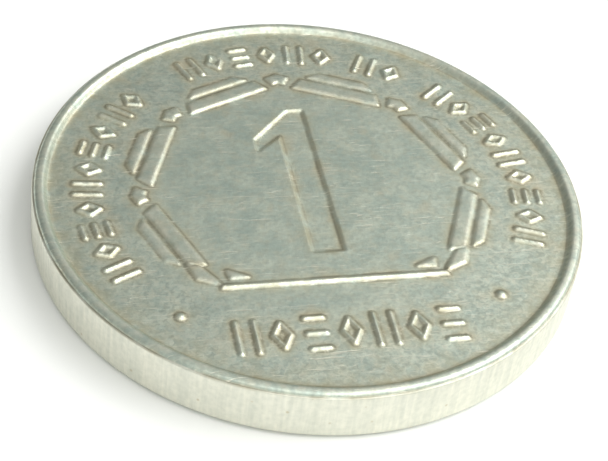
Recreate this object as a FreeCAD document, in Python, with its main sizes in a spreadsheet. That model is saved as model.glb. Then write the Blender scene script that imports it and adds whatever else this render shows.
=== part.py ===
"""A struck aluminium fare token: a plain-edged disc with a raised lip on both faces.

The token is one piece of metal. The obverse, which faces +Z, carries a broken ring of raised marks,
two dots, a seven-sided frame of double bars, a sunk numeral and a straight row of marks under the
frame. The reverse carries a ring of beads and the same sunk numeral.

The origin is the centre of the disc on the plane that its lower lip rests on. +Z is the token's
axis, out of the obverse, and +Y is the top of the numeral. Lengths are in millimetres.
"""

import FreeCAD, Part
import math
import os
import Sketcher

ORIGIN_POINT = (-1, 1)  # the sketch's own origin, as a constraint names it
LINE_START = 1
LINE_END = 2
CIRCLE_CENTRE = 3
TURN = 360.0
QUARTER_TURN = 90.0  # from +X, where angles are counted from, to +Y, on which a sketch is drawn

# Every driving dimension, as alias: (value, what it is). Angles are in degrees, anticlockwise from +X.
DIMENSIONS = {
    # the disc
    "disc_radius": (11.0, "outer radius of the plain edge"),
    "disc_thickness": (2.3, "over both lips"),
    "lip_top_inner": (10.5, "radius where the lip's flat top begins"),
    "lip_foot_radius": (10.3, "radius where the lip's inner slope meets the field"),
    "field_drop": (0.22, "depth of each field under its lip"),
    "edge_round": (0.2, "radius of the rounded outer edges"),
    # relief
    "relief_height": (0.11, "height of all raised relief over the field"),
    "numeral_depth": (0.09, "depth of the sunk numeral under the field"),
    # the numeral, centred on the token's axis
    "stem_right": (0.76, "right edge of the stem"),
    "stem_left": (0.62, "left edge of the stem, from the axis"),
    "numeral_top": (5.15, "top edge"),
    "numeral_bottom": (3.4, "bottom edge, below the axis"),
    "flag_reach": (1.7, "tip of the flag, left of the axis"),
    "flag_tip_top": (3.4, "upper corner of the flag's tip"),
    "flag_tip_bottom": (2.5, "lower corner of the flag's tip"),
    "flag_root": (3.4, "height where the flag's underside meets the stem"),
    # the ring of raised marks
    "legend_inner": (8.2, "radius at the feet of the marks"),
    "legend_height": (1.3, "radial height of a mark"),
    "legend_width": (0.9, "width of a mark"),
    "legend_pitch": (7.7, "angle from one mark to the next"),
    # the straight row of raised marks
    "row_bottom": (8.5, "bottom of the row, below the axis"),
    "row_height": (1.8, "height of a mark"),
    "row_width": (0.96, "width of a mark"),
    "row_pitch": (1.31, "distance from one mark to the next"),
    "stroke": (0.26, "width of every stroke in a mark"),
    # the two dots
    "dot_radius": (0.25, "radius of a dot"),
    "dot_ring_radius": (8.84, "distance of the dots from the axis"),
    "dot_angle": (44.5, "angle of each dot from straight down"),
    # the seven-sided frame, about its own centre
    "frame_centre": (0.33, "height of the frame's centre above the axis"),
    "bar_inner": (5.92, "distance of a side's inner edge from the frame's centre"),
    "bar_middle": (6.73, "distance of the groove between a side's two bars"),
    "bar_outer": (7.3, "distance of a side's outer edge"),
    "inner_half": (1.98, "half the length of the inner bar"),
    "middle_half": (1.65, "half the length at the groove"),
    "outer_half": (1.0, "half the length of the outer bar"),
    "groove_width": (0.14, "width of the groove"),
    "groove_half": (1.35, "half the length of the groove"),
    "corner_inner": (6.55, "distance of a corner link's inner point"),
    "corner_outer": (7.2, "distance of a corner link's outer point"),
    "corner_inner_arm": (0.3, "length of a corner link's inner edge"),
    "corner_outer_arm": (0.62, "length of a corner link's outer edge"),
    "base_half": (4.5, "half the length of the frame's bottom bar"),
    "base_top": (4.78, "upper edge of the bottom bar, below the axis"),
    "base_bottom": (5.1, "lower edge of the bottom bar, below the axis"),
    # the ring of beads on the reverse
    "bead_radius": (0.22, "radius of a bead"),
    "bead_ring_radius": (9.5, "distance of the beads from the axis"),
    "bead_count": (60, "number of beads"),
}

# The ring's four groups of marks: the angle of the first mark, and how many follow it clockwise,
# itself included.
LEGEND_GROUPS = {
    "first": (205.0, 10),
    "second": (114.0, 6),
    "third": (63.0, 2),
    "fourth": (40.0, 9),
}
ROW_MARKS = 7
MARK_ORDER = ("twin_bars", "lozenge", "stacked_bars", "lozenge")  # each group's marks, in turn

FRAME_SIDES = 6  # the sides that have two bars; the seventh is the plain bottom bar
FRAME_STEP = 45.0
FIRST_SIDE = -22.5  # the outward direction of the lowest right-hand side
FRAME_CORNERS = 5
FIRST_CORNER = 0.0

# The corners of the lower corner link, which laps over the bottom bar, and of the small facet beside
# it, as distances right of the axis and below it. Each has a mirror image on the left.
LOWER_CORNER = ((5.7, 3.5), (5.05, 3.7), (4.42, 4.62), (4.25, 5.0), (5.35, 4.5))
LOWER_FACET = ((4.2, 3.95), (2.95, 4.56), (4.1, 4.62))


def make_sheet(document):
    """The spreadsheet of driving dimensions, one row each: name, value, meaning."""
    sheet = document.addObject("Spreadsheet::Sheet", "Dimensions")
    for row, (alias, (value, meaning)) in enumerate(DIMENSIONS.items(), start=1):
        sheet.set(f"A{row}", alias)
        sheet.set(f"B{row}", str(value))
        sheet.set(f"C{row}", meaning)
        sheet.setAlias(f"B{row}", alias)
    document.recompute()
    return sheet


def cell(text):
    """An expression on the sheet: each alias in the text is given the sheet's name."""
    words = text.replace("(", "( ").replace(")", " )").split(" ")
    return " ".join(f"Dimensions.{word}" if word in DIMENSIONS else word for word in words)


def origin_plane(body, role):
    for feature in body.Origin.OriginFeatures:
        if feature.Role == role:
            return feature
    raise RuntimeError(f"{body.Label} has no origin feature {role}")


def add_sketch(body, name, plane="XY_Plane", level="0", turn="0", across="0", centre="0"):
    """An empty sketch on one of the body's origin planes: lifted to a level, turned about +Z, and
    moved across along +X and up along +Y. Each is an expression on the sheet."""
    sketch = body.newObject("Sketcher::SketchObject", name)
    sketch.AttachmentSupport = [(origin_plane(body, plane), "")]
    sketch.MapMode = "FlatFace"
    upright = FreeCAD.Rotation(FreeCAD.Vector(0, 0, 1), 0)
    sketch.AttachmentOffset = FreeCAD.Placement(FreeCAD.Vector(0, 0, 0), upright)
    sketch.setExpression("AttachmentOffset.Rotation.Angle", cell(turn))
    sketch.setExpression("AttachmentOffset.Base.x", cell(across))
    sketch.setExpression("AttachmentOffset.Base.y", cell(centre))
    sketch.setExpression("AttachmentOffset.Base.z", cell(level))
    return sketch


def fix_point(sketch, geometry, point, place):
    """Holds a point at a place whose two coordinates are expressions on the sheet."""
    for kind, expression in zip(("DistanceX", "DistanceY"), place):
        held = Sketcher.Constraint(kind, *ORIGIN_POINT, geometry, point, 1.0)
        index = sketch.addConstraint(held)
        sketch.setExpression(f"Constraints[{index}]", cell(expression))


def draw_outline(sketch, corners):
    """A closed outline of straight edges. It is drawn as a regular polygon, and the constraints
    then bring each corner to its place."""
    count = len(corners)
    first = sketch.GeometryCount
    places = [
        FreeCAD.Vector(math.cos(2 * math.pi * i / count), math.sin(2 * math.pi * i / count), 0)
        for i in range(count)
    ]
    for i in range(count):
        sketch.addGeometry(Part.LineSegment(places[i], places[(i + 1) % count]), False)
    for i in range(count):
        following = first + (i + 1) % count
        joined = Sketcher.Constraint("Coincident", first + i, LINE_END, following, LINE_START)
        sketch.addConstraint(joined)
    for i, corner in enumerate(corners):
        fix_point(sketch, first + i, LINE_START, corner)


def draw_box(sketch, left, right, bottom, top):
    draw_outline(sketch, [(left, bottom), (right, bottom), (right, top), (left, top)])


def draw_circle(sketch, radius, centre):
    upward = FreeCAD.Vector(0, 0, 1)
    index = sketch.addGeometry(Part.Circle(FreeCAD.Vector(0, 0, 0), upward, 1.0), False)
    fix_point(sketch, index, CIRCLE_CENTRE, centre)
    size = sketch.addConstraint(Sketcher.Constraint("Radius", index, 1.0))
    sketch.setExpression(f"Constraints[{size}]", cell(radius))


def pad(body, sketch, name, reverse=False):
    """Raises a sketch's outlines from the field, upwards or, on the reverse, downwards."""
    raised = body.newObject("PartDesign::Pad", name)
    raised.Profile = sketch
    raised.Reversed = reverse
    raised.setExpression("Length", cell("relief_height"))
    body.Tip = raised
    return raised


def ring_pattern(body, feature, name, axis, angle, count, reverse=False):
    """Repeats a feature about an axis, through an angle from the first to the last."""
    pattern = body.newObject("PartDesign::PolarPattern", name)
    pattern.Originals = [feature]
    pattern.Axis = axis
    pattern.Reversed = reverse
    pattern.setExpression("Angle", cell(f"{angle}"))
    pattern.setExpression("Occurrences", cell(f"{count}"))
    body.Tip = pattern


def row_pattern(body, feature, name, axis, length, count):
    """Repeats a feature along an axis, over a length from the first to the last."""
    pattern = body.newObject("PartDesign::LinearPattern", name)
    pattern.Originals = [feature]
    pattern.Direction = axis
    pattern.setExpression("Length", cell(length))
    pattern.setExpression("Occurrences", f"{count}")
    body.Tip = pattern


def make_blank(body):
    """The turned disc: both fields, both lips and the plain edge with its rounded corners."""
    profile = add_sketch(body, "blank_profile", "XZ_Plane")
    upper_field = "disc_thickness - field_drop"
    draw_outline(
        profile,
        [
            ("0", "field_drop"),
            ("lip_foot_radius", "field_drop"),
            ("lip_top_inner", "0"),
            ("disc_radius", "0"),
            ("disc_radius", "disc_thickness"),
            ("lip_top_inner", "disc_thickness"),
            ("lip_foot_radius", upper_field),
            ("0", upper_field),
        ],
    )
    blank = body.newObject("PartDesign::Revolution", "blank")
    blank.Profile = profile
    blank.ReferenceAxis = (profile, ["V_Axis"])
    blank.Angle = TURN
    body.Tip = blank
    body.Document.recompute()

    radius = DIMENSIONS["disc_radius"][0]
    corners = [
        f"Edge{number}"
        for number, edge in enumerate(blank.Shape.Edges, start=1)
        if isinstance(edge.Curve, Part.Circle) and math.isclose(edge.Curve.Radius, radius)
    ]
    rounded = body.newObject("PartDesign::Fillet", "rounded_edges")
    rounded.Base = (blank, corners)
    rounded.setExpression("Radius", cell("edge_round"))
    body.Tip = rounded


def draw_mark(sketch, shape, width, height, foot):
    """One raised mark that stands on +Y: its foot is at the height foot."""
    right = f"{width} / 2"
    top = f"{foot} + {height}"
    middle = f"{foot} + {height} / 2"
    diagonal = f"sqrt( {width} ^ 2 + {height} ^ 2 )"
    if shape == "twin_bars":
        draw_box(sketch, f"0 - {right}", f"stroke - {right}", foot, top)
        draw_box(sketch, f"{right} - stroke", right, foot, top)
    elif shape == "stacked_bars":
        draw_box(sketch, f"0 - {right}", right, foot, f"{foot} + stroke")
        draw_box(sketch, f"0 - {right}", right, f"{middle} - stroke / 2", f"{middle} + stroke / 2")
        draw_box(sketch, f"0 - {right}", right, f"{top} - stroke", top)
    else:
        across = f"stroke * {diagonal} / {height}"
        upright = f"stroke * {diagonal} / {width}"
        for inset_x, inset_y in (("0", "0"), (across, upright)):
            draw_outline(
                sketch,
                [
                    ("0", f"{foot} + {inset_y}"),
                    (f"{right} - {inset_x}", middle),
                    ("0", f"{top} - {inset_y}"),
                    (f"{inset_x} - {right}", middle),
                ],
            )


def make_legend(body, field):
    """The broken ring of marks: each place in the order is drawn once a group and then repeated."""
    axis = (origin_plane(body, "Z_Axis"), [""])
    for group, (first_angle, count) in LEGEND_GROUPS.items():
        for place, shape in enumerate(MARK_ORDER[:count]):
            repeats = len(range(place, count, len(MARK_ORDER)))
            name = f"legend_{group}_{place}_{shape}"
            turn = f"{first_angle} - {place} * legend_pitch - {QUARTER_TURN}"
            sketch = add_sketch(body, f"{name}_sketch", level=field, turn=turn)
            draw_mark(sketch, shape, "legend_width", "legend_height", "legend_inner")
            mark = pad(body, sketch, name)
            if repeats > 1:
                span = f"{(repeats - 1) * len(MARK_ORDER)} * legend_pitch"
                ring_pattern(body, mark, f"{name}_ring", axis, span, repeats, reverse=True)


def make_row(body, field):
    """The straight row of marks under the frame."""
    for place, shape in enumerate(MARK_ORDER):
        repeats = len(range(place, ROW_MARKS, len(MARK_ORDER)))
        name = f"row_{place}_{shape}"
        first = f"{place - (ROW_MARKS - 1) / 2} * row_pitch"
        sketch = add_sketch(
            body, f"{name}_sketch", level=field, across=first, centre="0 - row_bottom"
        )
        draw_mark(sketch, shape, "row_width", "row_height", "0")
        mark = pad(body, sketch, name)
        if repeats > 1:
            length = f"{(repeats - 1) * len(MARK_ORDER)} * row_pitch"
            row_pattern(body, mark, f"{name}_repeats", (sketch, ["H_Axis"]), length, repeats)


def make_dots(body, field):
    """One dot on each side, between the ring of marks and the straight row."""
    sketch = add_sketch(body, "dots_sketch", level=field)
    depth = "0 - dot_ring_radius * cos( dot_angle )"
    for side in (-1, 1):
        draw_circle(sketch, "dot_radius", (f"{side} * dot_ring_radius * sin( dot_angle )", depth))
    pad(body, sketch, "dots")


def make_frame(body, field):
    """Six sides of double bars, five corner links between them, and the plain bottom bar."""
    turn = f"{FIRST_SIDE - QUARTER_TURN}"
    side = add_sketch(body, "side_sketch", level=field, turn=turn, centre="frame_centre")
    draw_outline(
        side,
        [
            ("0 - inner_half", "bar_inner"),
            ("inner_half", "bar_inner"),
            ("middle_half", "bar_middle"),
            ("outer_half", "bar_outer"),
            ("0 - outer_half", "bar_outer"),
            ("0 - middle_half", "bar_middle"),
        ],
    )
    draw_box(
        side,
        "0 - groove_half",
        "groove_half",
        "bar_middle - groove_width / 2",
        "bar_middle + groove_width / 2",
    )
    first_side = pad(body, side, "frame_side")
    span = (FRAME_SIDES - 1) * FRAME_STEP
    ring_pattern(body, first_side, "frame_sides", (side, ["N_Axis"]), span, FRAME_SIDES)

    turn = f"{FIRST_CORNER - QUARTER_TURN}"
    corner = add_sketch(body, "corner_sketch", level=field, turn=turn, centre="frame_centre")
    along = math.cos(math.radians(FRAME_STEP / 2))
    down = math.sin(math.radians(FRAME_STEP / 2))
    inner_end = f"corner_inner - corner_inner_arm * {down}"
    outer_end = f"corner_outer - corner_outer_arm * {down}"
    draw_outline(
        corner,
        [
            ("0", "corner_inner"),
            (f"corner_inner_arm * {along}", inner_end),
            (f"corner_outer_arm * {along}", outer_end),
            ("0", "corner_outer"),
            (f"0 - corner_outer_arm * {along}", outer_end),
            (f"0 - corner_inner_arm * {along}", inner_end),
        ],
    )
    first_corner = pad(body, corner, "frame_corner")
    span = (FRAME_CORNERS - 1) * FRAME_STEP
    ring_pattern(body, first_corner, "frame_corners", (corner, ["N_Axis"]), span, FRAME_CORNERS)

    base = add_sketch(body, "base_sketch", level=field)
    draw_box(base, "0 - base_half", "base_half", "0 - base_bottom", "0 - base_top")
    pad(body, base, "frame_base")

    lower = add_sketch(body, "lower_corner_sketch", level=field)
    for outline in (LOWER_CORNER, LOWER_FACET):
        for hand in (-1, 1):
            draw_outline(lower, [(f"{hand * x}", f"{-y}") for x, y in outline])
    pad(body, lower, "frame_lower_corners")


def make_numeral(body, name, level, hand, reverse):
    """The sunk numeral. hand is 1 on the obverse and -1 on the reverse, which is seen from below."""
    sketch = add_sketch(body, f"{name}_sketch", level=level)
    outline = [
        ("stem_right", "numeral_top"),
        ("0", "numeral_top"),
        ("0 - flag_reach", "flag_tip_top"),
        ("0 - flag_reach", "flag_tip_bottom"),
        ("0 - stem_left", "flag_root"),
        ("0 - stem_left", "0 - numeral_bottom"),
        ("stem_right", "0 - numeral_bottom"),
    ]
    draw_outline(sketch, [(f"{hand} * ( {x} )", y) for x, y in outline])
    sunk = body.newObject("PartDesign::Pocket", name)
    sunk.Profile = sketch
    sunk.Reversed = reverse
    sunk.setExpression("Length", cell("numeral_depth"))
    body.Tip = sunk


def make_beads(body, field):
    """The ring of beads on the reverse, just inside its lip."""
    sketch = add_sketch(body, "bead_sketch", level=field)
    draw_circle(sketch, "bead_radius", ("0", "bead_ring_radius"))
    bead = pad(body, sketch, "bead", reverse=True)
    axis = (origin_plane(body, "Z_Axis"), [""])
    ring_pattern(body, bead, "bead_ring", axis, TURN, "bead_count")


def make_token(document):
    body = document.addObject("PartDesign::Body", "token_disc")
    body.Label = "token_disc"
    body.Placement = FreeCAD.Placement()
    make_blank(body)
    upper_field = "disc_thickness - field_drop"
    lower_field = "field_drop"
    make_legend(body, upper_field)
    make_row(body, upper_field)
    make_dots(body, upper_field)
    make_frame(body, upper_field)
    make_beads(body, lower_field)
    document.recompute()
    whole = body.Shape.Volume
    make_numeral(body, "numeral", upper_field, 1, False)
    document.recompute()
    after_obverse = body.Shape.Volume
    make_numeral(body, "reverse_numeral", lower_field, -1, True)
    document.recompute()
    if not whole > after_obverse > body.Shape.Volume:
        raise RuntimeError("a numeral cut nothing out of the token")
    return body


def check(document, parts):
    for item in document.Objects:
        if "Invalid" in item.State or "Error" in item.State:
            raise RuntimeError(f"{item.Label} did not recompute: {item.State}")
    for part in parts:
        if part.Shape.isNull() or not part.Shape.isValid() or len(part.Shape.Solids) != 1:
            raise RuntimeError(f"{part.Label} is not one valid solid")


def main():
    document = FreeCAD.newDocument("fare_token")
    make_sheet(document)
    parts = [make_token(document)]
    document.recompute()
    check(document, parts)
    os.makedirs("parts", exist_ok=True)
    for part in parts:
        part.Shape.exportStep(f"parts/{part.Label}.step")
        box = part.Shape.optimalBoundingBox()
        size = f"{box.XLength:.3f} x {box.YLength:.3f} x {box.ZLength:.3f} mm"
        print(f"{part.Label}: {size}, volume {part.Shape.Volume:.2f} mm3")


main()
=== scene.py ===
import math

import bpy
import numpy as np
from mathutils import Matrix, Vector
from mathutils.geometry import delaunay_2d_cdt


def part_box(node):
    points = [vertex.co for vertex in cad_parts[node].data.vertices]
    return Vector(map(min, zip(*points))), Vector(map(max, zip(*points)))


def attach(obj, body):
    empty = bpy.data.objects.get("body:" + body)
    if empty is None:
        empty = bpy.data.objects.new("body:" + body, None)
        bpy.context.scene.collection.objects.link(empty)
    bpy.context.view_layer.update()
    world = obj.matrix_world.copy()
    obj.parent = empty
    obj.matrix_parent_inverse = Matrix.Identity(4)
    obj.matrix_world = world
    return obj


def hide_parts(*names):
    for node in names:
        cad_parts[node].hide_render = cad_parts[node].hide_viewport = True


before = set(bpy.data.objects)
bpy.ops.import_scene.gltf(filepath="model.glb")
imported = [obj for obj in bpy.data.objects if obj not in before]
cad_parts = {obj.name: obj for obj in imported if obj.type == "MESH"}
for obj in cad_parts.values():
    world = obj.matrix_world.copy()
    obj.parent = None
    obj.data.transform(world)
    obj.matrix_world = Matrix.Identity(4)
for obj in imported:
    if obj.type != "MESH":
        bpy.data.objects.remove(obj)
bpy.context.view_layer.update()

# The token is one struck piece, so it is one closed mesh: two relief faces joined by the plain edge.
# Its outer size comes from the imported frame. Places on its faces are in millimetres from its axis,
# +Y towards the top of the numeral, as in the CAD model, and angles in degrees. Blender itself works
# in metres.
MM = 0.001
NODE = "token_disc"
LOW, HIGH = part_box(NODE)
RADIUS = (HIGH.x - LOW.x) / 2 / MM
THICKNESS = (HIGH.z - LOW.z) / MM
FIELD_DROP = 0.22  # depth of each field under its lip

# Relief: heights over the field, and the widths of the sloped and rounded sides that a die leaves
MARK_HEIGHT = 0.10
FRAME_HEIGHT = 0.075
OUTER_BAR_HEIGHT = 0.055
BASE_BAR_HEIGHT = 0.10
NUMERAL_DEPTH = 0.09
NUMERAL_WEAR = 0.3  # its edges are less polished than the tops of the marks
SLOPE_OUTSIDE = 0.04
SLOPE_INSIDE = 0.15
STROKE = 0.27
CORNER_ROUND = 0.10
TARNISH_AND_SHADE_REACH = 0.16  # how far tarnish and painted shade spread from the foot of the relief
HALO_REACH = 0.20  # and a fainter discolouring round it
LIP_HALO_REACH = 0.6  # the same inside the foot of the lip
LIP_HALO_EDGE = 0.035  # and how fast it ends outside that
# how strong the tarnish and painted shade are in the line at the foot of the lip
LIP_TARNISH_AND_SHADE = 0.8
LIP_FOOT_INSET = 0.65
LIP_MIDDLE_INSET = 0.34
LIP_HALF_WIDTH = 0.22
STEP_INSET = 0.2  # a small step runs round the token between the lip and the wall; its dark line is painted shade
STEP_DEPTH = 0.145
STEP_REACH = 0.035

LEGEND_INNER = 8.2
LEGEND_HEIGHT = 1.3
LEGEND_WIDTH = 0.9
LEGEND_PITCH = 7.7
LEGEND_GROUPS = ((205.0, 10), (114.0, 6), (63.0, 2), (40.0, 9))  # first mark's angle, how many
MARK_ORDER = ("twin_bars", "lozenge", "stacked_bars", "lozenge")

ROW_BOTTOM = -8.5
ROW_HEIGHT = 1.8
ROW_WIDTH = 0.96
ROW_PITCH = 1.31
ROW_MARKS = 7

DOT_RADIUS = 0.22
DOT_RING_RADIUS = 8.84
DOT_ANGLE = 44.5

FRAME_CENTRE = 0.33
FRAME_SIDES = 6
FRAME_CORNERS = 5
FRAME_STEP = 45.0
FIRST_SIDE = -22.5
# A side's two bars and a corner link, drawn with the frame's centre below them and +Y outwards
INNER_BAR = ((-1.98, 5.92), (1.98, 5.92), (1.68, 6.67), (-1.68, 6.67))
OUTER_BAR = ((-1.62, 6.79), (1.62, 6.79), (1.0, 7.3), (-1.0, 7.3))
CORNER_LINK = ((0, 6.55), (0.28, 6.44), (0.57, 6.96), (0, 7.2), (-0.57, 6.96), (-0.28, 6.44))
# The plain bottom bar, and on the right of it a corner link and a small facet
BASE_BAR = ((-4.5, -5.1), (4.5, -5.1), (4.5, -4.78), (-4.5, -4.78))
LOWER_CORNER = ((5.7, -3.5), (5.05, -3.7), (4.42, -4.62), (4.25, -5.0), (5.35, -4.5))
LOWER_FACET = ((4.2, -3.95), (2.95, -4.56), (4.1, -4.62))

NUMERAL = (
    (0.76, 5.15), (0.0, 5.15), (-1.7, 3.4), (-1.7, 2.5), (-0.62, 3.4), (-0.62, -3.4), (0.76, -3.4),
)

BEAD_RADIUS = 0.24
BEAD_RING_RADIUS = 9.5
BEADS = 60

# The mesh: a grid inside each face, finest beside the relief, and rings from there out to the edge
GRID_STEP = 0.045
GRID_LEVELS = ((1, 0.12), (2, 0.25), (4, 0.6), (8, math.inf))  # grid steps, used this near relief
GRID_RADIUS = 9.93
RING_SEGMENTS = 480
MERGE_DISTANCE = 1e-7
SMALLEST_AREA = 1e-12  # a triangle with less is dropped
SMALLEST_LENGTH = 1e-12  # squared, so that a stroke of no length can be measured from

# Profiles from the field out to the wall, as (distance inside the outer radius, depth under the lip)
LIP_PROFILE = (
    (0.95, 0.2200), (0.80, 0.2195), (0.70, 0.2160), (0.65, 0.2060), (0.61, 0.1850), (0.57, 0.1500),
    (0.53, 0.1050), (0.49, 0.0600), (0.45, 0.0250), (0.41, 0.0070), (0.36, 0.0), (0.29, 0.0),
    (0.23, 0.0060),
)
EDGE_PROFILE = (
    (0.17, 0.028), (0.13, 0.062), (0.105, 0.100), (0.092, 0.130), (0.078, 0.146), (0.055, 0.150),
    (0.030, 0.160), (0.012, 0.182), (0.003, 0.215), (0.0, 0.260),
)
WALL_RINGS = 8


# ---- outlines -----------------------------------------------------------------------------------


def turned(outline, degrees):
    turn = math.radians(degrees)
    c, s = math.cos(turn), math.sin(turn)
    return [(x * c - y * s, x * s + y * c) for x, y in outline]


def shifted(outline, across, up):
    return [(x + across, y + up) for x, y in outline]


def mirrored(outline):
    return [(-x, y) for x, y in reversed(outline)]


def mark(shape, width, height):
    """One generic mark on +Y with its foot at the origin, as the middle lines of its strokes."""
    low, high = STROKE / 2, height - STROKE / 2
    right, middle = width / 2 - STROKE / 2, height / 2
    if shape == "twin_bars":
        return [[(across, low), (across, high)] for across in (-right, right)]
    if shape == "stacked_bars":
        return [[(-right, up), (right, up)] for up in (low, middle, high)]
    slant = math.hypot(width, height)
    across, upright = STROKE * slant / height / 2, STROKE * slant / width / 2
    side, top = width / 2 - across, height - upright
    return [[(0, upright), (side, middle), (0, top), (-side, middle), (0, upright)]]


def legend():
    """The broken ring of marks, each with its foot towards the axis, in turn clockwise."""
    pieces = []
    for first_angle, count in LEGEND_GROUPS:
        for place in range(count):
            angle = first_angle - place * LEGEND_PITCH - 90
            for line in mark(MARK_ORDER[place % len(MARK_ORDER)], LEGEND_WIDTH, LEGEND_HEIGHT):
                placed = turned(shifted(line, 0, LEGEND_INNER), angle)
                pieces.append((stroke_distance, placed, STROKE / 2, MARK_HEIGHT))
    return pieces


def straight_row():
    pieces = []
    for place in range(ROW_MARKS):
        across = (place - (ROW_MARKS - 1) / 2) * ROW_PITCH
        for line in mark(MARK_ORDER[place % len(MARK_ORDER)], ROW_WIDTH, ROW_HEIGHT):
            placed = shifted(line, across, ROW_BOTTOM)
            pieces.append((stroke_distance, placed, STROKE / 2, MARK_HEIGHT))
    return pieces


def round_stud(radius, across, up):
    """A stroke of no length."""
    return stroke_distance, [(across, up), (across, up)], radius, MARK_HEIGHT


def dots():
    turn = math.radians(DOT_ANGLE)
    across, up = DOT_RING_RADIUS * math.sin(turn), -DOT_RING_RADIUS * math.cos(turn)
    return [round_stud(DOT_RADIUS, side * across, up) for side in (-1, 1)]


def block(outline, height):
    """A flat-topped piece with rounded corners."""
    return shape_distance, shrunk(outline, CORNER_ROUND), CORNER_ROUND, height


def octagon_frame():
    """Six sides of double bars and five corner links, then the bottom bar and its corners."""
    pieces = []
    for side in range(FRAME_SIDES):
        angle = FIRST_SIDE + side * FRAME_STEP - 90
        for bar, height in ((INNER_BAR, FRAME_HEIGHT), (OUTER_BAR, OUTER_BAR_HEIGHT)):
            pieces.append(block(shifted(turned(bar, angle), 0, FRAME_CENTRE), height))
    for corner in range(FRAME_CORNERS):
        link = turned(CORNER_LINK, corner * FRAME_STEP - 90)
        pieces.append(block(shifted(link, 0, FRAME_CENTRE), FRAME_HEIGHT))
    pieces.append(block(BASE_BAR, BASE_BAR_HEIGHT))
    for outline, height in ((LOWER_CORNER, FRAME_HEIGHT), (LOWER_FACET, OUTER_BAR_HEIGHT)):
        pieces.append(block(outline, height))
        pieces.append(block(mirrored(outline), height))
    return pieces


def bead_ring():
    steps = [2 * math.pi * bead / BEADS for bead in range(BEADS)]
    return [
        round_stud(BEAD_RADIUS, BEAD_RING_RADIUS * math.cos(a), BEAD_RING_RADIUS * math.sin(a))
        for a in steps
    ]


# ---- relief as heights over the field -----------------------------------------------------------


def shrunk(outline, inset):
    """A closed outline with every side moved inwards, whichever way round it is drawn."""
    corners = np.array(outline, float)
    sides = np.roll(corners, -1, axis=0) - corners
    following = np.roll(corners, -1, axis=0)
    area = np.sum(corners[:, 0] * following[:, 1] - corners[:, 1] * following[:, 0])
    inwards = np.column_stack([-sides[:, 1], sides[:, 0]]) * np.sign(area)
    inwards /= np.hypot(*inwards.T)[:, None]
    before = np.roll(inwards, 1, axis=0)
    share = 1 + np.sum(before * inwards, axis=1)
    return corners + inset * (before + inwards) / share[:, None]


def to_segments(points, starts, ends):
    """Distance from each point to the nearest of some straight segments."""
    nearest = np.full(len(points), np.inf)
    for a, b in zip(starts, ends):
        along = b - a
        offset = points - a
        share = np.clip(offset @ along / max(along @ along, SMALLEST_LENGTH), 0, 1)
        nearest = np.minimum(nearest, np.hypot(*(offset - share[:, None] * along).T))
    return nearest


def stroke_distance(points, line):
    """Distance to the middle line of a stroke."""
    line = np.array(line, float)
    return to_segments(points, line[:-1], line[1:])


def shape_distance(points, outline):
    """Distance to a closed outline, negative inside it."""
    starts = np.array(outline, float)
    ends = np.roll(starts, -1, axis=0)
    inside = np.zeros(len(points), bool)
    for a, b in zip(starts, ends):
        crosses = (a[1] > points[:, 1]) != (b[1] > points[:, 1])
        rise = b[1] - a[1] if b[1] != a[1] else 1.0
        inside ^= crosses & (points[:, 0] < a[0] + (b[0] - a[0]) * (points[:, 1] - a[1]) / rise)
    return to_segments(points, starts, ends) * np.where(inside, -1, 1)


def shoulder(distance):
    """The share of full height at a signed distance from an outline: a fillet, a slope, a round."""
    share = np.clip((SLOPE_OUTSIDE - distance) / (SLOPE_OUTSIDE + SLOPE_INSIDE), 0, 1)
    return share * share * (3 - 2 * share)


def relief(points, raised, numeral):
    """At each point: height over the field, distance from the nearest outline, share of tarnish and
    painted shade (both at the foot of the relief) and share of wear (it polishes the relief's
    crests)."""
    reach = GRID_LEVELS[-2][1] + SLOPE_INSIDE
    height = np.zeros(len(points))
    near = np.full(len(points), np.inf)
    tarnish = np.zeros(len(points))
    wear = np.zeros(len(points))
    for measure, outline, width, top in [*raised, numeral]:
        low, high = np.min(outline, axis=0) - reach, np.max(outline, axis=0) + reach
        here = np.flatnonzero(((points > low) & (points < high)).all(axis=1))
        distance = measure(points[here], outline) - width
        near[here] = np.minimum(near[here], np.abs(distance))
        share = shoulder(distance)
        if top > 0:
            height[here] = np.maximum(height[here], top * share)
            low_side = np.maximum(distance - SLOPE_OUTSIDE, 0)
            crest = share * np.exp(-np.maximum(-distance - SLOPE_INSIDE, 0) / SLOPE_INSIDE)
        else:
            height[here] += top * share
            low_side = np.maximum(-distance - SLOPE_INSIDE, 0)
            crest = (1 - share) * np.exp(-np.maximum(distance - SLOPE_OUTSIDE, 0) / SLOPE_OUTSIDE)
            crest *= NUMERAL_WEAR
            share = 1 - share
        tarnish[here] = np.maximum(tarnish[here], (1 - share) * np.exp(-low_side / TARNISH_AND_SHADE_REACH))
        wear[here] = np.maximum(wear[here], crest)
    return height, near, tarnish, wear


# ---- the mesh -----------------------------------------------------------------------------------


def ring_points(radius):
    angles = 2 * np.pi * np.arange(RING_SEGMENTS) / RING_SEGMENTS
    return radius * np.column_stack([np.cos(angles), np.sin(angles)])


def lip_shares(inset, depth):
    """Tarnish and painted shade in the two lines beside the lip (its foot and the step), wear on its
    top, and the halo inside it.
    """
    foot = LIP_TARNISH_AND_SHADE * np.exp(-np.abs(inset - LIP_FOOT_INSET) / TARNISH_AND_SHADE_REACH)
    step = np.where(inset < STEP_INSET, np.exp(-np.abs(depth - STEP_DEPTH) / STEP_REACH), 0)
    wear = np.clip(1 - np.abs(inset - LIP_MIDDLE_INSET) / LIP_HALF_WIDTH, 0, 1)
    inside = inset - LIP_FOOT_INSET
    halo = np.exp(-np.abs(inside) / np.where(inside > 0, LIP_HALO_REACH, LIP_HALO_EDGE))
    return np.maximum(foot, step), wear, halo


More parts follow.
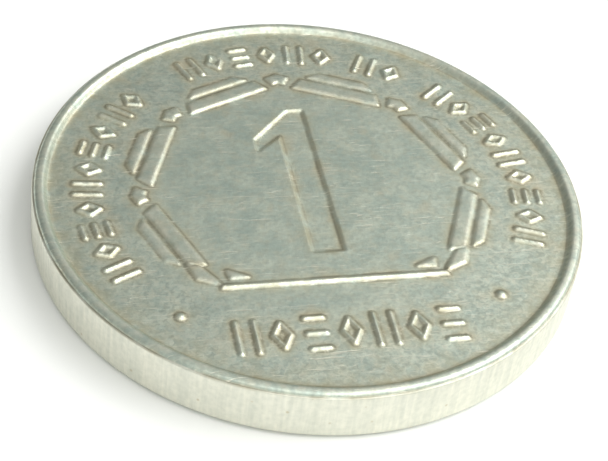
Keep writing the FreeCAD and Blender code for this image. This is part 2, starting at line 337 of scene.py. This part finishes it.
def face_mesh(raised, numeral):
    """One face of the token, as seen from outside it: a row for each point of its place, its depth
    under the lip, tarnish and painted shade, wear and halo, then its triangles. The last ring of
    points is its rim."""
    count = int(GRID_RADIUS / GRID_STEP)
    steps = np.arange(-count, count + 1)
    columns, rows = (axis.ravel() for axis in np.meshgrid(steps, steps))
    grid = GRID_STEP * np.column_stack([columns, rows])
    within = np.hypot(*grid.T) < GRID_RADIUS
    grid, columns, rows = grid[within], columns[within], rows[within]
    height, near, tarnish, wear = relief(grid, raised, numeral)
    keep = np.zeros(len(grid), bool)
    for level, distance in GRID_LEVELS:
        keep |= (columns % level == 0) & (rows % level == 0) & (near < distance)
    foot, _, halo = lip_shares(RADIUS - np.hypot(*grid.T), FIELD_DROP)
    tarnish = np.maximum(tarnish, foot)
    halo = np.maximum(halo, np.exp(-near / HALO_REACH))
    parts = [np.column_stack([grid, FIELD_DROP - height, tarnish, wear, halo])[keep]]
    for inset, depth in LIP_PROFILE:
        shares = np.broadcast_to(lip_shares(inset, depth), (RING_SEGMENTS, 3))
        parts.append(
            np.column_stack([ring_points(RADIUS - inset), np.full(RING_SEGMENTS, depth), shares])
        )
    points = np.concatenate(parts)
    made = delaunay_2d_cdt([Vector(p) for p in points[:, :2]], [], [], 0, MERGE_DISTANCE, False)
    if len(made[0]) != len(points):
        raise RuntimeError("the triangulation merged or added points")
    return points, upward(points, np.array(made[2]))


def upward(points, triangles):
    """The triangles, each turned so that it runs anticlockwise."""
    a, b, c = (points[triangles[:, i]] for i in range(3))
    area = (b[:, 0] - a[:, 0]) * (c[:, 1] - a[:, 1]) - (b[:, 1] - a[:, 1]) * (c[:, 0] - a[:, 0])
    real = np.abs(area) > SMALLEST_AREA
    triangles, area = triangles[real], area[real]
    return np.where((area > 0)[:, None], triangles, triangles[:, ::-1])


def edge_rings():
    """The rings between the two faces: place, height, tarnish and painted shade, wear, halo, and 1
    on the wall.
    """
    wall_top = EDGE_PROFILE[-1][1]
    wall = np.linspace(wall_top, THICKNESS - wall_top, WALL_RINGS + 1)[1:-1]
    profile = [(inset, depth, THICKNESS - depth) for inset, depth in EDGE_PROFILE]
    profile += [(0.0, wall_top, THICKNESS - depth) for depth in wall]
    profile += [(inset, depth, depth) for inset, depth in reversed(EDGE_PROFILE)]
    rings = []
    for inset, depth, height in profile:
        rest = (height, *lip_shares(inset, depth), float(depth > STEP_DEPTH))
        rings.append(
            np.column_stack([ring_points(RADIUS - inset), np.tile(rest, (RING_SEGMENTS, 1))])
        )
    return rings


def token_mesh():
    """The whole closed token: obverse, plain edge, reverse."""
    numeral = block(NUMERAL, -NUMERAL_DEPTH)
    top, top_faces = face_mesh(legend() + straight_row() + dots() + octagon_frame(), numeral)
    under, under_faces = face_mesh(bead_ring(), numeral)
    rings = edge_rings()

    # The reverse is drawn as seen from below, where +X is on the left. So its points are mirrored,
    # and its triangles, anticlockwise as drawn, then face down.
    obverse = np.column_stack([top[:, :2], THICKNESS - top[:, 2], top[:, 3:], np.zeros(len(top))])
    reverse = np.column_stack([under * (-1, 1, 1, 1, 1, 1), np.zeros(len(under))])
    points = np.concatenate([obverse, *rings, reverse])

    first_under = len(top) + len(rings) * RING_SEGMENTS
    mirror_order = (RING_SEGMENTS // 2 - np.arange(RING_SEGMENTS)) % RING_SEGMENTS
    loops = [len(top) + i * RING_SEGMENTS + np.arange(RING_SEGMENTS) for i in range(-1, len(rings))]
    loops.append(len(points) - RING_SEGMENTS + mirror_order)

    faces = top_faces.tolist()
    for upper, low in zip(loops, loops[1:]):
        faces += np.column_stack([upper, low, np.roll(low, -1), np.roll(upper, -1)]).tolist()
    faces += (under_faces + first_under).tolist()

    mesh = bpy.data.meshes.new("token")
    mesh.from_pydata((points[:, :3] * MM).tolist(), [], faces)
    for column, name in enumerate(("tarnish", "wear", "halo", "wall"), start=3):
        share = mesh.attributes.new(name, "FLOAT", "POINT")
        share.data.foreach_set("value", points[:, column].astype(np.float32))
    mesh.validate()
    mesh.shade_smooth()
    return mesh


# ---- shader nodes -------------------------------------------------------------------------------


class Nodes:
    """Adds nodes to one tree. An input is a value, another node (its first output), or an output."""

    def __init__(self, tree):
        self.tree = tree

    def add(self, kind, inputs=None, **settings):
        node = self.tree.nodes.new(kind)
        for name, value in settings.items():
            setattr(node, name, value)
        for key, value in (inputs or {}).items():
            if isinstance(value, bpy.types.Node):
                value = value.outputs[0]
            if isinstance(value, bpy.types.NodeSocket):
                self.tree.links.new(value, node.inputs[key])
            else:
                node.inputs[key].default_value = value
        return node

    def maths(self, operation, first, second):
        return self.add("ShaderNodeMath", {0: first, 1: second}, operation=operation).outputs[0]

    def plus(self, first, second):
        return self.maths("ADD", first, second)

    def minus(self, first, second):
        return self.maths("SUBTRACT", first, second)

    def times(self, first, second):
        return self.maths("MULTIPLY", first, second)

    def larger(self, first, second):
        return self.maths("MAXIMUM", first, second)

    def vector(self, operation, inputs, output="Vector"):
        node = self.add("ShaderNodeVectorMath", dict(enumerate(inputs)), operation=operation)
        return node.outputs[output]

    def scaled(self, vector, scale):
        return self.vector("MULTIPLY", (vector, scale))

    def moved(self, vector, step):
        return self.vector("ADD", (vector, step))

    def noise(self, vector, scale, detail, distortion=0.0):
        inputs = {"Vector": vector, "Scale": scale, "Detail": detail, "Distortion": distortion}
        return self.add("ShaderNodeTexNoise", inputs).outputs[0]

    def spread(self, value, low, high, to_low, to_high):
        inputs = {"Value": value, 1: low, 2: high, 3: to_low, 4: to_high}
        return self.add("ShaderNodeMapRange", inputs).outputs[0]

    def ramp(self, value, limits):
        """0 to 1, from the first limit to the second. The first may be the larger one."""
        return self.spread(value, *limits, 0.0, 1.0)

    def share(self, name):
        """A share that token_mesh stored on the mesh."""
        return self.add("ShaderNodeAttribute", attribute_name=name).outputs["Fac"]

    def mix(self, share, first, second):
        inputs = {0: share, 6: first, 7: second}
        return self.add("ShaderNodeMix", inputs, data_type="RGBA").outputs[2]


def new_material(name):
    material = bpy.data.materials.new(name)
    material.use_nodes = True
    material.node_tree.nodes.clear()
    return material, Nodes(material.node_tree)


# ---- the camera, floor and light ----------------------------------------------------------------

# Angles are in degrees, and the lens and sensor in millimetres
VIEW_ELEVATION = 42.8
VIEW_AZIMUTH = -17.4  # the camera stands left of -Y
VIEW_ROLL = 8.6
VIEW_DISTANCE = 6.373  # in token radii, from the point it aims at
VIEW_AIM = (-0.0694, -0.2161)  # on the plane of the lip, in token radii
LENS = 107.0
SENSOR = 36.0

# Lengths from here on are in metres
CLIP_START = MM
CLIP_END = 10.0

FLOOR_HALF_SIZE = 1.5
FLOOR_COLOUR = (0.94, 0.94, 0.93, 1)
FLOOR_ROUGHNESS = 0.9

# The studio's light rises by WORLD_SLOPE along each axis of the direction it comes from
WORLD_COLOUR = (0.97, 1.0, 0.95, 1)
WORLD_LEVEL = 0.61
WORLD_SLOPE = (0.21, -0.28, 0.0)

SOFTBOXES = (  # name, azimuth (0 is -Y, 90 is +X), elevation, distance, size, radiance
    ("front_softbox", 5, 52, 0.6, 0.55, 1.15),
    ("side_softbox", 84, 50, 0.6, 0.5, 3.2),
    ("top_softbox", 124, 48, 0.12, 0.08, 0.5),
)


def add_camera():
    data = bpy.data.cameras.new("camera")
    data.sensor_width = SENSOR
    data.lens = LENS
    data.clip_start = CLIP_START
    data.clip_end = CLIP_END
    camera = bpy.data.objects.new("camera", data)
    azimuth, elevation = math.radians(VIEW_AZIMUTH), math.radians(VIEW_ELEVATION)
    back = Vector((
        math.sin(azimuth) * math.cos(elevation),
        -math.cos(azimuth) * math.cos(elevation),
        math.sin(elevation),
    ))
    unit = RADIUS * MM
    aim = Vector((VIEW_AIM[0] * unit, VIEW_AIM[1] * unit, THICKNESS * MM))
    level = (-back).to_track_quat("-Z", "Y").to_matrix()
    roll = Matrix.Rotation(math.radians(VIEW_ROLL), 3, "Z")
    place = Matrix.Translation(aim + back * VIEW_DISTANCE * unit)
    camera.matrix_world = place @ (level @ roll).to_4x4()
    bpy.context.scene.collection.objects.link(camera)
    bpy.context.scene.camera = camera


def add_floor():
    corners = [
        (across * FLOOR_HALF_SIZE, along * FLOOR_HALF_SIZE, 0)
        for across, along in ((-1, -1), (1, -1), (1, 1), (-1, 1))
    ]
    mesh = bpy.data.meshes.new("floor")
    mesh.from_pydata(corners, [], [(0, 1, 2, 3)])
    floor = bpy.data.objects.new("floor", mesh)
    bpy.context.scene.collection.objects.link(floor)
    material, nodes = new_material("floor_paper")
    paper = nodes.add(
        "ShaderNodeBsdfPrincipled", {"Base Color": FLOOR_COLOUR, "Roughness": FLOOR_ROUGHNESS}
    )
    nodes.add("ShaderNodeOutputMaterial", {"Surface": paper})
    mesh.materials.append(material)


def add_softbox(name, azimuth, elevation, distance, size, radiance):
    """A square softbox that looks at the token."""
    data = bpy.data.lights.new(name, "AREA")
    data.shape = "SQUARE"
    data.size = size
    data.energy = radiance * math.pi * size * size
    light = bpy.data.objects.new(name, data)
    turn, lift = math.radians(azimuth), math.radians(elevation)
    place = distance * Vector((
        math.sin(turn) * math.cos(lift), -math.cos(turn) * math.cos(lift), math.sin(lift),
    ))
    light.location = place
    light.rotation_mode = "QUATERNION"
    light.rotation_quaternion = (-place).to_track_quat("-Z", "Y")
    bpy.context.scene.collection.objects.link(light)


def add_world():
    """A studio that is brighter in front and on the right than behind and on the left."""
    world = bpy.data.worlds.new("studio")
    world.use_nodes = True
    world.node_tree.nodes.clear()
    nodes = Nodes(world.node_tree)
    way = nodes.add("ShaderNodeTexCoord").outputs["Generated"]
    light = nodes.plus(nodes.vector("DOT_PRODUCT", (way, WORLD_SLOPE), "Value"), WORLD_LEVEL)
    surround = nodes.add("ShaderNodeBackground", {"Color": WORLD_COLOUR, "Strength": light})
    nodes.add("ShaderNodeOutputWorld", {"Surface": surround})
    bpy.context.scene.world = world


# ---- the metal ----------------------------------------------------------------------------------

METAL_COOL = (0.53, 0.62, 0.55, 1)
METAL_WARM = (0.70, 0.76, 0.65, 1)
# the wall's cream tone, made lighter than the faces as painted light for the brightly lit edge
WALL_TONE_AND_PAINTED_LIGHT = (0.81, 0.80, 0.70, 1)
METAL_DARK = (0.34, 0.39, 0.35, 1)
METAL_BRIGHT = (0.95, 0.91, 0.77, 1)
# Next: the brown of tarnish and painted shade at the foot of the relief, the lip and the step (and
# of the wall's pits), then a dark painted shade line along that foot
TARNISH_AND_SHADE_COLOUR = (0.50, 0.43, 0.28, 1)
FOOT_SHADE_LINE = (0.22, 0.22, 0.17, 1)
HALO = (0.52, 0.49, 0.34, 1)
STAIN = (0.66, 0.58, 0.42, 1)

# All of the metal's places and heights are in millimetres.
# Patterns: the step that sets one off another, cycles per millimetre, detail, distortion
GRAIN = ((0, 0, 0), 4.5, 4.0, 0.0)
MOTTLE = ((0, 0, 0), 0.9, 6.0, 0.0)
BLOTCHES = ((31, 7, 3), 0.8, 4.0, 0.0)
TINTS = ((13, 29, 8), 3.4, 3.0, 0.0)
SPECKS = ((3, 17, 41), 5.0, 3.0, 0.8)
HALO_PATCHES = ((0, 0, 0), 1.6, 4.0, 0.0)
POLISH_PATCHES = ((0, 0, 0), 2.2, 3.0, 0.0)

# Stretched patterns, in cycles per millimetre along X, Y and Z
FLECK_STEP = (5, 11, 0)
FLECK_CYCLES = (1.3, 4.2, 1.0)
FLECK_DETAIL = 2.0
WALL_CYCLES = (5.5, 5.5, 0.45)
WALL_DETAIL = 3.0
PIT_CYCLES = 1.1

SCRATCH_DISTORTION = 1.0
SCRATCH_PATCH_CYCLES = 0.23  # in a stretched place, so a patch holds a few scratches
SCRATCH_STEP = (1.0, 0.7, 0.3)  # times a direction's offset
SCRATCHES = (  # direction, cycles per millimetre across and along, offset of the pattern
    (12, 9.0, 0.9, 7), (-24, 11.0, 0.8, 10), (55, 12.0, 0.9, 12), (-68, 10.0, 0.8, 16),
    (80, 7.0, 1.1, 21), (-8, 13.0, 0.7, 28), (31, 9.0, 1.2, 33),
)

# Limits of ramps: where a pattern starts to show, and where it shows in full
WARM_LIMITS = (0.36, 0.62)
TINT_LIMITS = (0.46, 0.66)
SPECKLE_LIMITS = (0.34, 0.66)
BRIGHT_SPECK_LIMITS = (0.53, 0.63)
DARK_SPECK_LIMITS = (0.48, 0.36)
FLECK_LIMITS = (0.64, 0.76)
SCRATCH_LIMITS = (0.66, 0.80)
SCRATCH_PATCH_LIMITS = (0.50, 0.68)
HALO_LIMITS = (0.34, 0.62)
DULL_LIMITS = (0.35, 0.62)
FOOT_LIMITS = (0.62, 1.0)
FOOT_PATCH_LIMITS = (0.25, 0.55)
STAIN_LIMITS = (0.60, 0.74)
WALL_LIMITS = (0.3, 0.7)
PIT_LIMITS = (0.09, 0.04)
OUTER_START = (5.0, 8.0)  # the specked outer field, in millimetres from the axis
OUTER_END = (10.5, 10.1)

# Shares: how strongly each is laid over the colour below it
TINT_SHARE = 0.24
SPECKLE_SHARES = (0.62, 0.14)  # on the faces and on the wall
DARK_SPECK_SHARE = 0.48
HALO_SHARE = 0.75
DULL_SHARE = 0.75
FOOT_SHARE = 0.75
STAIN_SHARE = 0.35
WALL_SHARE = 0.25
PIT_SHARE = 0.6
FLECK_SHARE = 0.45
BRIGHT_SPECK_SHARE = 0.30
BRIGHT_SHARE = 0.8
POLISH = (0.38, 0.62, 0.05, 0.65)  # a range of its pattern, and the shares of polish it gives

ROUGHNESS = (0.3, 0.7, 0.36, 0.50)  # a range of the grain, and the roughness it gives
TARNISH_ROUGHNESS = 0.12
BRIGHT_SMOOTHNESS = 0.10

# Heights of the bump, in millimetres
GRAIN_HEIGHT = 0.010
MOTTLE_HEIGHT = 0.012
SCRATCH_DEPTH = 0.004
WALL_GRAIN_HEIGHT = 0.004


def pattern(nodes, place, step, cycles, detail, distortion):
    return nodes.noise(nodes.moved(place, step), cycles, detail, distortion)


def scratches_one_way(nodes, place, degrees, across, along, offset):
    """0 to 1: fine scratches in one direction."""
    laid = nodes.add(
        "ShaderNodeMapping",
        {
            "Vector": place,
            "Rotation": (0, 0, math.radians(degrees)),
            "Location": [offset * share for share in SCRATCH_STEP],
            "Scale": (along, across, 1.0),
        },
    )
    streak = nodes.noise(laid, 1.0, 1.0, SCRATCH_DISTORTION)
    patch = nodes.noise(laid, SCRATCH_PATCH_CYCLES, 0.0)
    return nodes.times(
        nodes.ramp(streak, SCRATCH_LIMITS), nodes.ramp(patch, SCRATCH_PATCH_LIMITS)
    )


def all_scratches(nodes, place, face):
    scratches = 0.0
    for one_way in SCRATCHES:
        scratches = nodes.larger(scratches, scratches_one_way(nodes, place, *one_way))
    return nodes.times(scratches, face)


def outer_specks(nodes, place):
    """0 to 1: the bright and the dark specks of the field between the frame and the lip."""
    reach = nodes.vector("LENGTH", (nodes.scaled(place, (1, 1, 0)),), "Value")
    outer = nodes.times(nodes.ramp(reach, OUTER_START), nodes.ramp(reach, OUTER_END))
    specks = pattern(nodes, place, *SPECKS)
    bright = nodes.times(nodes.ramp(specks, BRIGHT_SPECK_LIMITS), outer)
    dark = nodes.times(nodes.ramp(specks, DARK_SPECK_LIMITS), outer)
    return bright, dark


def bare_metal(nodes, place, grain, mottle, wall, face, dark_specks):
    """The colour of the metal, mottled and speckled, with the wall's lighter tone that is partly
    painted light, before tarnish, painted shade and polish.
    """
    colour = nodes.mix(nodes.ramp(mottle, WARM_LIMITS), METAL_COOL, METAL_WARM)
    # the wall's lighter tone is partly painted light
    colour = nodes.mix(wall, colour, WALL_TONE_AND_PAINTED_LIGHT)
    tint = nodes.times(nodes.ramp(pattern(nodes, place, *TINTS), TINT_LIMITS), face)
    colour = nodes.mix(nodes.times(tint, TINT_SHARE), colour, STAIN)
    speckle_share = nodes.spread(wall, 0.0, 1.0, *SPECKLE_SHARES)
    speckle = nodes.times(nodes.ramp(grain, SPECKLE_LIMITS), speckle_share)
    colour = nodes.mix(speckle, colour, METAL_DARK)
    return nodes.mix(nodes.times(dark_specks, DARK_SPECK_SHARE), colour, METAL_DARK)


def tarnished_and_shaded(nodes, place, colour, tarnish, halo, face):
    """Adds the halo round the relief, tarnish with painted shade and a painted dark shade line at
    its foot, and loose stains.
    """
    patches = nodes.ramp(pattern(nodes, place, *HALO_PATCHES), HALO_LIMITS)
    cast = nodes.times(halo, patches)
    colour = nodes.mix(nodes.times(cast, HALO_SHARE), colour, HALO)
    blotches = pattern(nodes, place, *BLOTCHES)
    # tarnish and painted shade in the creases at the foot of the relief and the lip
    dull_and_shaded = nodes.times(tarnish, nodes.ramp(blotches, DULL_LIMITS))
    colour = nodes.mix(nodes.times(dull_and_shaded, DULL_SHARE), colour, TARNISH_AND_SHADE_COLOUR)
    # a painted dark shade line right at the foot of the relief and the lip, and in the step
    line = nodes.times(nodes.ramp(tarnish, FOOT_LIMITS), nodes.ramp(blotches, FOOT_PATCH_LIMITS))
    colour = nodes.mix(nodes.times(line, FOOT_SHARE), colour, FOOT_SHADE_LINE)
    stain = nodes.times(nodes.ramp(blotches, STAIN_LIMITS), STAIN_SHARE)
    return nodes.mix(nodes.times(stain, face), colour, STAIN)


def marked_wall(nodes, place, colour, rubbed, wall):
    """Adds the upright rub marks and the pits of the wall."""
    colour = nodes.mix(nodes.times(rubbed, WALL_SHARE), colour, METAL_DARK)
    pit = nodes.add("ShaderNodeTexVoronoi", {"Vector": place, "Scale": PIT_CYCLES})
    pits = nodes.times(nodes.ramp(pit.outputs["Distance"], PIT_LIMITS), wall)
    return nodes.mix(nodes.times(pits, PIT_SHARE), colour, TARNISH_AND_SHADE_COLOUR)


def brightness(nodes, place, wear, scratches, bright_specks, face):
    """0 to 1: where the metal is polished, scratched or flecked bright."""
    polish = nodes.spread(pattern(nodes, place, *POLISH_PATCHES), *POLISH)
    laid = nodes.scaled(nodes.moved(place, FLECK_STEP), FLECK_CYCLES)
    flecks = nodes.times(nodes.ramp(nodes.noise(laid, 1.0, FLECK_DETAIL), FLECK_LIMITS), face)
    bright = nodes.larger(nodes.times(wear, polish), scratches)
    bright = nodes.larger(nodes.times(flecks, FLECK_SHARE), bright)
    return nodes.larger(nodes.times(bright_specks, BRIGHT_SPECK_SHARE), bright)


def struck_aluminium():
    material, nodes = new_material("struck_aluminium")
    metres = nodes.add("ShaderNodeTexCoord").outputs["Object"]
    place = nodes.scaled(metres, (1 / MM, 1 / MM, 1 / MM))
    tarnish, wear, halo, wall = (nodes.share(name) for name in ("tarnish", "wear", "halo", "wall"))
    face = nodes.minus(1.0, wall)

    grain = pattern(nodes, place, *GRAIN)
    mottle = pattern(nodes, place, *MOTTLE)
    scratches = all_scratches(nodes, place, face)
    bright_specks, dark_specks = outer_specks(nodes, place)
    drawn = nodes.noise(nodes.scaled(place, WALL_CYCLES), 1.0, WALL_DETAIL)
    rubbed = nodes.times(nodes.ramp(drawn, WALL_LIMITS), wall)
    bright = brightness(nodes, place, wear, scratches, bright_specks, face)

    colour = bare_metal(nodes, place, grain, mottle, wall, face, dark_specks)
    colour = tarnished_and_shaded(nodes, place, colour, tarnish, halo, face)
    colour = marked_wall(nodes, place, colour, rubbed, wall)
    colour = nodes.mix(nodes.times(bright, BRIGHT_SHARE), colour, METAL_BRIGHT)

    rough = nodes.spread(grain, *ROUGHNESS)
    rough = nodes.plus(rough, nodes.times(tarnish, TARNISH_ROUGHNESS))
    rough = nodes.minus(rough, nodes.times(bright, BRIGHT_SMOOTHNESS))

    height = nodes.times(grain, GRAIN_HEIGHT)
    height = nodes.plus(height, nodes.times(mottle, MOTTLE_HEIGHT))
    height = nodes.minus(height, nodes.times(scratches, SCRATCH_DEPTH))
    height = nodes.plus(height, nodes.times(rubbed, WALL_GRAIN_HEIGHT))
    bump = nodes.add("ShaderNodeBump", {"Height": height, "Distance": MM, "Strength": 1.0})
    metal = nodes.add(
        "ShaderNodeBsdfPrincipled",
        {"Base Color": colour, "Metallic": 1.0, "Roughness": rough, "Normal": bump},
    )
    nodes.add("ShaderNodeOutputMaterial", {"Surface": metal})
    return material


add_camera()
add_floor()
add_world()
for softbox in SOFTBOXES:
    add_softbox(*softbox)

token = bpy.data.objects.new("token", token_mesh())
bpy.context.scene.collection.objects.link(token)
token.data.materials.append(struck_aluminium())
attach(token, "root")
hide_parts(NODE)

bpy.context.scene.view_settings.view_transform = "Standard"
